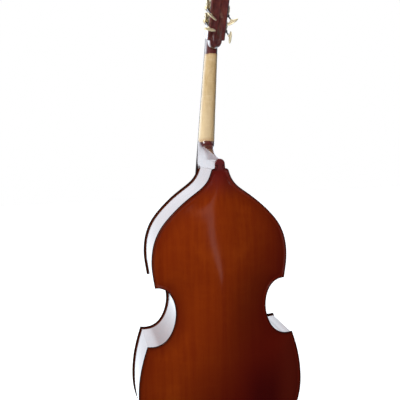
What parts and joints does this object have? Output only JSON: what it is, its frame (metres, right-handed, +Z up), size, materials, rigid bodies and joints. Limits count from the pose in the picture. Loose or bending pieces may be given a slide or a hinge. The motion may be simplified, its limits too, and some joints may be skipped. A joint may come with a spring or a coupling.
{
  "type": "double bass",
  "caption": "Upright double bass with an arched back and top, fingerboard, bridge, tailpiece, geared tuning machines and a sliding endpin.",
  "frame": {"origin": "centre of the endpin's rubber tip where it stands on the floor", "axes": "+Z up, -Y towards the strings and the player's bow, +X towards the treble (G) side"},
  "size_m": [0.634, 0.499, 2.0569],
  "materials": {
    "varnished_maple": "glossy orange-brown varnish, darker red-brown towards the edges",
    "varnished_spruce": "glossy amber varnish",
    "bare_wood": "bare, unvarnished",
    "neck_maple": "satin oiled neck, red-brown varnish on heel, pegbox and scroll",
    "ebony": "polished black",
    "bridge_maple": "bare, fine sanded",
    "brass": "polished",
    "steel": "satin",
    "wound_steel": "flat-wound",
    "rubber": "matt"
  },
  "bodies": {
    "bass": {"back_plate": "varnished_maple", "upper_rib_left": "varnished_maple", "upper_rib_right": "varnished_maple", "centre_rib_left": "varnished_maple", "centre_rib_right": "varnished_maple", "lower_rib_left": "varnished_maple", "lower_rib_right": "varnished_maple", "top_plate": "varnished_spruce", "bass_bar": "bare_wood", "sound_post": "bare_wood", "neck_block": "bare_wood", "end_block": "bare_wood", "upper_corner_block_left": "bare_wood", "upper_corner_block_right": "bare_wood", "lower_corner_block_left": "bare_wood", "lower_corner_block_right": "bare_wood", "upper_lining_front_left": "bare_wood", "upper_lining_front_right": "bare_wood", "upper_lining_back_left": "bare_wood", "upper_lining_back_right": "bare_wood", "centre_lining_front_left": "bare_wood", "centre_lining_front_right": "bare_wood", "centre_lining_back_left": "bare_wood", "centre_lining_back_right": "bare_wood", "lower_lining_front_left": "bare_wood", "lower_lining_front_right": "bare_wood", "lower_lining_back_left": "bare_wood", "lower_lining_back_right": "bare_wood", "neck": "neck_maple", "fingerboard": "ebony", "nut": "ebony", "tailpiece": "ebony", "saddle": "ebony", "endpin_plug": "ebony", "bridge": "bridge_maple", "tuner_plate_E": "brass", "tuner_plate_A": "brass", "tuner_plate_D": "brass", "tuner_plate_G": "brass", "tail_wire": "steel", "endpin_collar": "steel", "string_E": "wound_steel", "string_A": "wound_steel", "string_D": "wound_steel", "string_G": "wound_steel"},
    "endpin": {"endpin_rod": "steel", "endpin_tip": "rubber"},
    "thumb_screw": {"thumb_screw": "steel"},
    "key_E": {"worm_shaft_E": "brass"},
    "gear_roller_E": {"gear_E": "brass", "roller_E": "steel"},
    "key_A": {"worm_shaft_A": "brass"},
    "gear_roller_A": {"gear_A": "brass", "roller_A": "steel"},
    "key_D": {"worm_shaft_D": "brass"},
    "gear_roller_D": {"gear_D": "brass", "roller_D": "steel"},
    "key_G": {"worm_shaft_G": "brass"},
    "gear_roller_G": {"gear_G": "brass", "roller_G": "steel"}
  },
  "joints": [
    {"name": "endpin_slide", "type": "slide", "parent": "bass", "child": "endpin", "axis": [0, 0, 1], "range_m": [0, 0.14]},
    {"name": "thumb_screw_turn", "type": "hinge", "parent": "bass", "child": "thumb_screw", "pos_m": [0, 0, 0.194], "axis": [0, 1, 0], "range_deg": [0, 360]},
    {"name": "key_turn_E", "type": "hinge", "parent": "bass", "child": "key_E", "pos_m": [-0.0375, 0.05823, 1.83065], "axis": [0, 0.8572, -0.515], "range_deg": [-720, 720]},
    {"name": "gear_turn_E", "type": "hinge", "parent": "bass", "child": "gear_roller_E", "pos_m": [0, 0.06714, 1.84548], "axis": [1, 0, 0], "range_deg": [-49, 49]},
    {"name": "key_turn_A", "type": "hinge", "parent": "bass", "child": "key_A", "pos_m": [-0.0375, 0.08605, 1.87694], "axis": [0, 0.8572, -0.515], "range_deg": [-720, 720]},
    {"name": "gear_turn_A", "type": "hinge", "parent": "bass", "child": "gear_roller_A", "pos_m": [0, 0.09496, 1.89176], "axis": [1, 0, 0], "range_deg": [-49, 49]},
    {"name": "key_turn_D", "type": "hinge", "parent": "bass", "child": "key_D", "pos_m": [0.0375, 0.09532, 1.89236], "axis": [0, 0.8572, -0.515], "range_deg": [-720, 720]},
    {"name": "gear_turn_D", "type": "hinge", "parent": "bass", "child": "gear_roller_D", "pos_m": [0, 0.10423, 1.90719], "axis": [1, 0, 0], "range_deg": [-49, 49]},
    {"name": "key_turn_G", "type": "hinge", "parent": "bass", "child": "key_G", "pos_m": [0.0375, 0.07162, 1.85293], "axis": [0, 0.8572, -0.515], "range_deg": [-720, 720]},
    {"name": "gear_turn_G", "type": "hinge", "parent": "bass", "child": "gear_roller_G", "pos_m": [0, 0.08053, 1.86776], "axis": [1, 0, 0], "range_deg": [-49, 49]}
  ],
  "couplings": [
    {"joint": "gear_turn_E", "follows": "key_turn_E", "ratio": -0.066667},
    {"joint": "gear_turn_A", "follows": "key_turn_A", "ratio": -0.066667},
    {"joint": "gear_turn_D", "follows": "key_turn_D", "ratio": -0.066667},
    {"joint": "gear_turn_G", "follows": "key_turn_G", "ratio": -0.066667}
  ]
}
